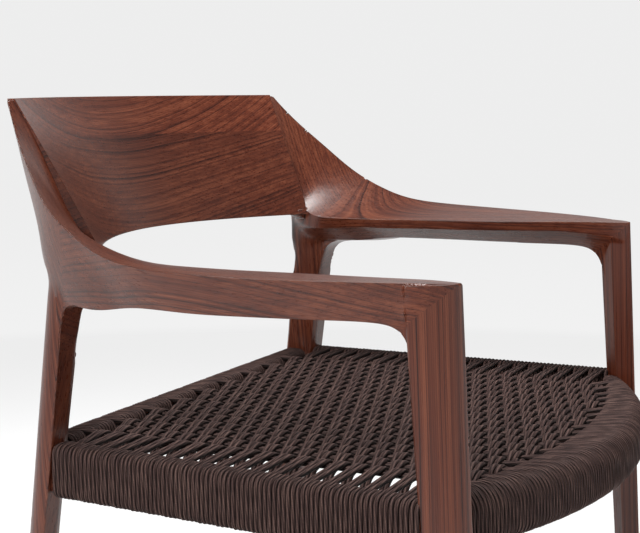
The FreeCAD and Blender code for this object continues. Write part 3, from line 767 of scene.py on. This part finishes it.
# the cross cords: each pair goes over one side rail and comes from under the other
weft_front = Cords("seat_cross_cords_front")
weft_back = Cords("seat_cross_cords_back")
wrap_side = {1: Cords("seat_wrap_left"), -1: Cords("seat_wrap_right")}
for row in range(ROW_FIRST, ROW_LAST + 1):
    y = ROW_Y + ROW * row
    over = -1 if row % 2 == 0 else 1          # the side whose rail this row goes over
    on_rail = ROW_RAIL <= row < ROW_LAST
    if on_rail:
        reach = side_rail_x(y) - RAIL_HALF
    else:
        depth = BOW_Y + INNER_BACK - y + FRONT_CLEAR
        reach = min(WEFT_CORNER, math.sqrt(max(0.0, INNER_R ** 2 - depth ** 2)))
    for twin in (-1, 1):
        high = RAIL_HIGH + jitter()
        if on_rail:
            rail = side_rail_x(y)
            ring = side_ring(rail, over)
            start = [(ring[0][0], RAIL_HIGH - TUCK), *ring[:3], (over * TOP_RUN_END, high)]
            head = even(rounded(start, [0, RAIL_TURN, RAIL_TURN, RAIL_TURN, 0], False))
        else:
            # a short row starts and ends below the weave, beside the front rail
            head = np.array([(over * (reach + 4), 430.0), (over * (reach + 3.4), 440.0),
                             (over * (reach + 1.5), 448.0)])
        limit = WEFT_END if on_rail else reach - 2
        xs = np.arange(-limit, limit + 0.1, 2 * limit / round(2 * limit / STEP)) * -over
        cycle = np.cos(np.pi * (xs - WARP_FIRST) / WARP_STEP) * (-over)
        level = PLANE + LIFT * cycle
        far = np.abs(xs) > WARP_EDGE
        if on_rail:
            beyond = (np.abs(xs) - WARP_EDGE) / (limit - WARP_EDGE)
            rest = PLANE + LIFT + (high - PLANE - LIFT) * beyond
            down = PLANE - LIFT - RAIL_LOW
            fall = PLANE - LIFT - down * (np.abs(xs) - WARP_EDGE) / (reach - WARP_EDGE)
        else:
            rest = PLANE + LIFT - SHORT_SINK * smooth_step((np.abs(xs) - WARP_EDGE) / SHORT_SINK_LENGTH)
            fall = PLANE - LIFT - SHORT_DIVE * smooth_step((np.abs(xs) - WARP_EDGE) / SHORT_DIVE_LENGTH)
        level = np.where(far & (xs * over > 0), rest, level)
        level = np.where(far & (xs * over < 0), fall, level)
        path = [(x, z) for x, z in head]
        path += [(x, z) for x, z in zip(xs, level)]
        if on_rail:
            path += [(-over * (reach - 1), RAIL_LOW + 1.2), (-over * (reach + 2), RAIL_LOW)]
        else:
            path += [(-over * (reach + 1.5), path[-1][1] - 6), (-over * (reach + 3.4), 436.0)]
        path = eased(even(path, FINE_STEP))
        x, z = path[:, 0], path[:, 1]
        on_top = np.clip((z - PLANE) / LIFT, 0, 1) * smooth_step((CLOSED_X - np.abs(x)) / CLOSED_FADE)
        on_top = on_top * (0.35 + 0.65 * smooth_step((NEARLY_X - np.abs(x)) / NEARLY_FADE))
        apart = CORD_D / 2 + OPEN_OUT * on_top
        ys = y + twin * apart + jitter(0.1)
        slide = smooth_step((np.abs(x) - SLIDE_X) / SLIDE_FADE) * (x * over < 0)
        if on_rail:
            ys = ys - ROW * slide
        full = np.stack([x, ys, z], axis=1)
        group = weft_front if row < BACK_GROUP else weft_back
        group.add(full, (0, 1, 0), width=1.0 + WIDEN * on_top)
        if on_rail:
            # the filling turns lie between the pairs that go over this rail
            rail = side_rail_x(y)
            turn = even(rounded(side_ring(rail, -over), [RAIL_TURN] * 4, True), closed=True)
            depth = np.full(len(turn), y + twin * CORD_D / 2 + jitter(0.08))
            wrap_side[-over].add(np.stack([turn[:, 0], depth, turn[:, 1]], axis=1), (0, 1, 0), True)

# a few more turns fill the side rails up to the legs
for sign in (-1, 1):
    for y in [FILL_FRONT] + [FILL_BACK + CORD_D * i for i in range(3)]:
        turn = even(rounded(side_ring(side_rail_x(y), sign), [RAIL_TURN] * 4, True), closed=True)
        depth = np.full(len(turn), y)
        wrap_side[sign].add(np.stack([turn[:, 0], depth, turn[:, 1]], axis=1), (0, 1, 0), True)

# the front rail's turns fan out round its bow, and warp pairs leave them over the top inner edge
warps = Cords("seat_long_cords")
wrap_front = Cords("seat_wrap_front")
wrap_back = Cords("seat_wrap_back")
turns = 2 * int(FRONT_SPREAD / CORD_D)
pitch = CORD_D / FRONT_R
angles = [(k - (turns - 1) / 2) * pitch for k in range(turns)]
warp_x = [WARP_FIRST + WARP_STEP * i for i in range(WARP_COUNT)]
owner = {}
for i, wx in enumerate(warp_x):
    gaps = [abs(front_inner(a) * math.sin(a) - (wx - CORD_D / 2 + 0.2)) for a in angles]
    first = int(np.argmin(gaps))
    owner[first] = (i, -1)
    owner[first + 1] = (i, 1)


def front_turn(angle, closed):
    """One turn round the front rail; an open one leaves over the top towards the weave."""
    outer = FRONT_R - HALF
    inner = front_inner(angle) + HALF
    corners = [(inner, RAIL_LOW), (outer, RAIL_LOW), (outer, RAIL_HIGH), (inner, RAIL_HIGH)]
    radii = FRONT_RADII
    if not closed:
        corners = [(inner, RAIL_HIGH - TUCK)] + corners[:3] + [(inner + 7, RAIL_HIGH)]
        radii = [0] + FRONT_RADII[:3] + [0]
    return even(rounded(corners, radii, closed), closed=closed)


def back_turn(closed):
    """One turn round the back rail; an open one comes over the top from the weave."""
    inner = BACK_RAIL_Y - RAIL_HALF
    outer = BACK_RAIL_Y + RAIL_HALF
    corners = [(inner, RAIL_HIGH), (outer, RAIL_HIGH), (outer, RAIL_LOW), (inner, RAIL_LOW)]
    if not closed:
        corners = [(inner + 5, RAIL_HIGH)] + corners[1:] + [(inner, RAIL_HIGH - TUCK)]
    return even(rounded(corners, [RAIL_TURN] * 5, closed), closed=closed)


back_count = 2 * int(BACK_SPREAD / CORD_D)
back_x = [(k - (back_count - 1) / 2) * CORD_D for k in range(back_count)]
back_taken = set()
for k, angle in enumerate(angles):
    swing = np.array([math.cos(angle), math.sin(angle), 0.0])
    if k not in owner:
        turn = front_turn(angle, True)
        rho = turn[:, 0]
        full = np.stack([rho * math.sin(angle), BOW_Y - rho * math.cos(angle), turn[:, 1]], axis=1)
        wrap_front.add(full, swing, True, rho / FRONT_R)
        continue
    i, twin = owner[k]
    turn = front_turn(angle, False)
    rho = turn[:, 0]
    head = np.stack([rho * math.sin(angle), BOW_Y - rho * math.cos(angle), turn[:, 1]], axis=1)
    y0 = head[-1, 1]
    lane = warp_x[i] + twin * (CORD_D / 2 - 0.1)
    ys = np.arange(y0 + 3.0, WARP_END, STEP)
    blend = smooth_step((ys - y0) / WARP_TURN)
    xs = head[-1, 0] * (1 - blend) + lane * blend
    zs = PLANE * blend + RAIL_HIGH * (1 - blend)
    spots = sorted(range(back_count), key=lambda n: abs(back_x[n] - (warp_x[i] - CORD_D / 2)))
    spot = spots[0] + (1 if twin > 0 else 0)
    if i % 2 == 0:
        back_taken.add(spot)
        rise = smooth_step((ys - RISE_Y) / RISE_LENGTH)
        zs = zs * (1 - rise) + RAIL_HIGH * rise
        xs = xs * (1 - rise) + back_x[spot] * rise
        tail = back_turn(False)
    else:
        drop = np.clip((ys - DROP_Y) / DROP_LENGTH, 0, 1)
        zs = zs - (PLANE - RAIL_LOW) * drop ** 1.3
        # down the inner face of the back rail and under it
        tail = np.array([(150.5, 424.0), (152.0, 416.0), (156.0, RAIL_LOW)])
    last = xs[-1]
    tail = np.stack([np.full(len(tail), last), tail[:, 0], tail[:, 1]], axis=1)
    body = np.stack([xs, ys, zs], axis=1)
    path = eased(even(np.vstack([head, body, tail]), FINE_STEP))
    turned = np.clip((path[:, 1] - y0) / WARP_TURN, 0, 1)[:, None]
    across = swing[None, :] * (1 - turned) + np.array([[1.0, 0, 0]]) * turned
    share = np.clip((BOW_Y - path[:, 1]) / (FRONT_R * math.cos(angle)), 0.9, 1)
    narrow = 1 - (1 - share) * (path[:, 1] < y0)
    warps.add(path, across, width=narrow)
for n in range(back_count):
    if n in back_taken:
        continue
    turn = back_turn(True)
    full = np.stack([np.full(len(turn), back_x[n] + jitter(0.08)), turn[:, 0], turn[:, 1]], axis=1)
    wrap_back.add(full, (1, 0, 0), True)

for group in (weft_front, weft_back, wrap_side[1], wrap_side[-1], warps, wrap_front, wrap_back):
    group.finish()


# ---------------------------------------------------------------- floor, light and world
def floor_material():
    """Pale matt floor that brightens into the studio's white surround away from the object."""
    g = Graph("floor_paint")
    place = g.node("ShaderNodeTexCoord").outputs["Object"]
    soft = g.noise(place, 3.0, 3.0).outputs[0]
    far = g.node("ShaderNodeVectorMath", {0: place}, operation="LENGTH").outputs["Value"]
    paint = g.ramp(soft, [(0.3, grey(0.80)), (0.7, grey(0.815))])
    g.feed(g.shader.inputs["Base Color"], g.mix("MIX", g.remap(far, 0.7, 3.0, 0.0, 1.0), paint, grey(0.0)))
    g.shader.inputs["Roughness"].default_value = 1.0
    g.shader.inputs["Specular IOR Level"].default_value = 0.0
    glow = g.ramp(g.math("DIVIDE", far, 9.0), [(0.08, grey(0.0)), (0.17, grey(0.52)), (0.35, grey(0.88)),
                                               (0.6, grey(0.86)), (0.95, grey(0.85))])
    g.feed(g.shader.inputs["Emission Color"], glow)
    g.shader.inputs["Emission Strength"].default_value = 1.0
    return g.material


FLOOR_RADIUS = 14.0
bpy.ops.mesh.primitive_circle_add(vertices=96, radius=FLOOR_RADIUS, fill_type="NGON", location=(0, 0, 0))
floor = bpy.context.object
floor.name = "floor"
floor.data.materials.append(floor_material())


def softbox(name, at, target, size, power):
    """Square soft light, size in metres and power in watts, turned towards the target."""
    data = bpy.data.lights.new(name, "AREA")
    data.shape = "RECTANGLE"
    data.size = size
    data.size_y = size
    data.energy = power
    lamp = bpy.data.objects.new(name, data)
    lamp.location = at
    lamp.rotation_euler = (Vector(target) - Vector(at)).to_track_quat("-Z", "Y").to_euler()
    bpy.context.scene.collection.objects.link(lamp)


softbox("key", (-2.4, 0.2, 2.4), (0, 0, 0.5), 1.6, 110)
softbox("top", (0.35, 0.0, 2.7), (0.1, 0, 0.5), 0.9, 66)
softbox("fill", (0.8, -3.4, 1.5), (0, 0, 0.5), 2.0, 6)

world = bpy.data.worlds.new("studio")
bpy.context.scene.world = world
world.use_nodes = True
tree = world.node_tree
back = tree.nodes["Background"]
where = tree.nodes.new("ShaderNodeTexCoord")
split = tree.nodes.new("ShaderNodeSeparateXYZ")
fade = tree.nodes.new("ShaderNodeMapRange")
# brightest near the horizon: 0.85 up to a height of 0.10, falling to 0.20 at a height of 0.40
for socket, value in zip(fade.inputs[1:5], (0.10, 0.40, 0.85, 0.20)):
    socket.default_value = value
tree.links.new(where.outputs["Generated"], split.inputs[0])
tree.links.new(split.outputs[2], fade.inputs[0])
tree.links.new(fade.outputs[0], back.inputs["Strength"])
back.inputs["Color"].default_value = (1.0, 1.0, 1.0, 1.0)
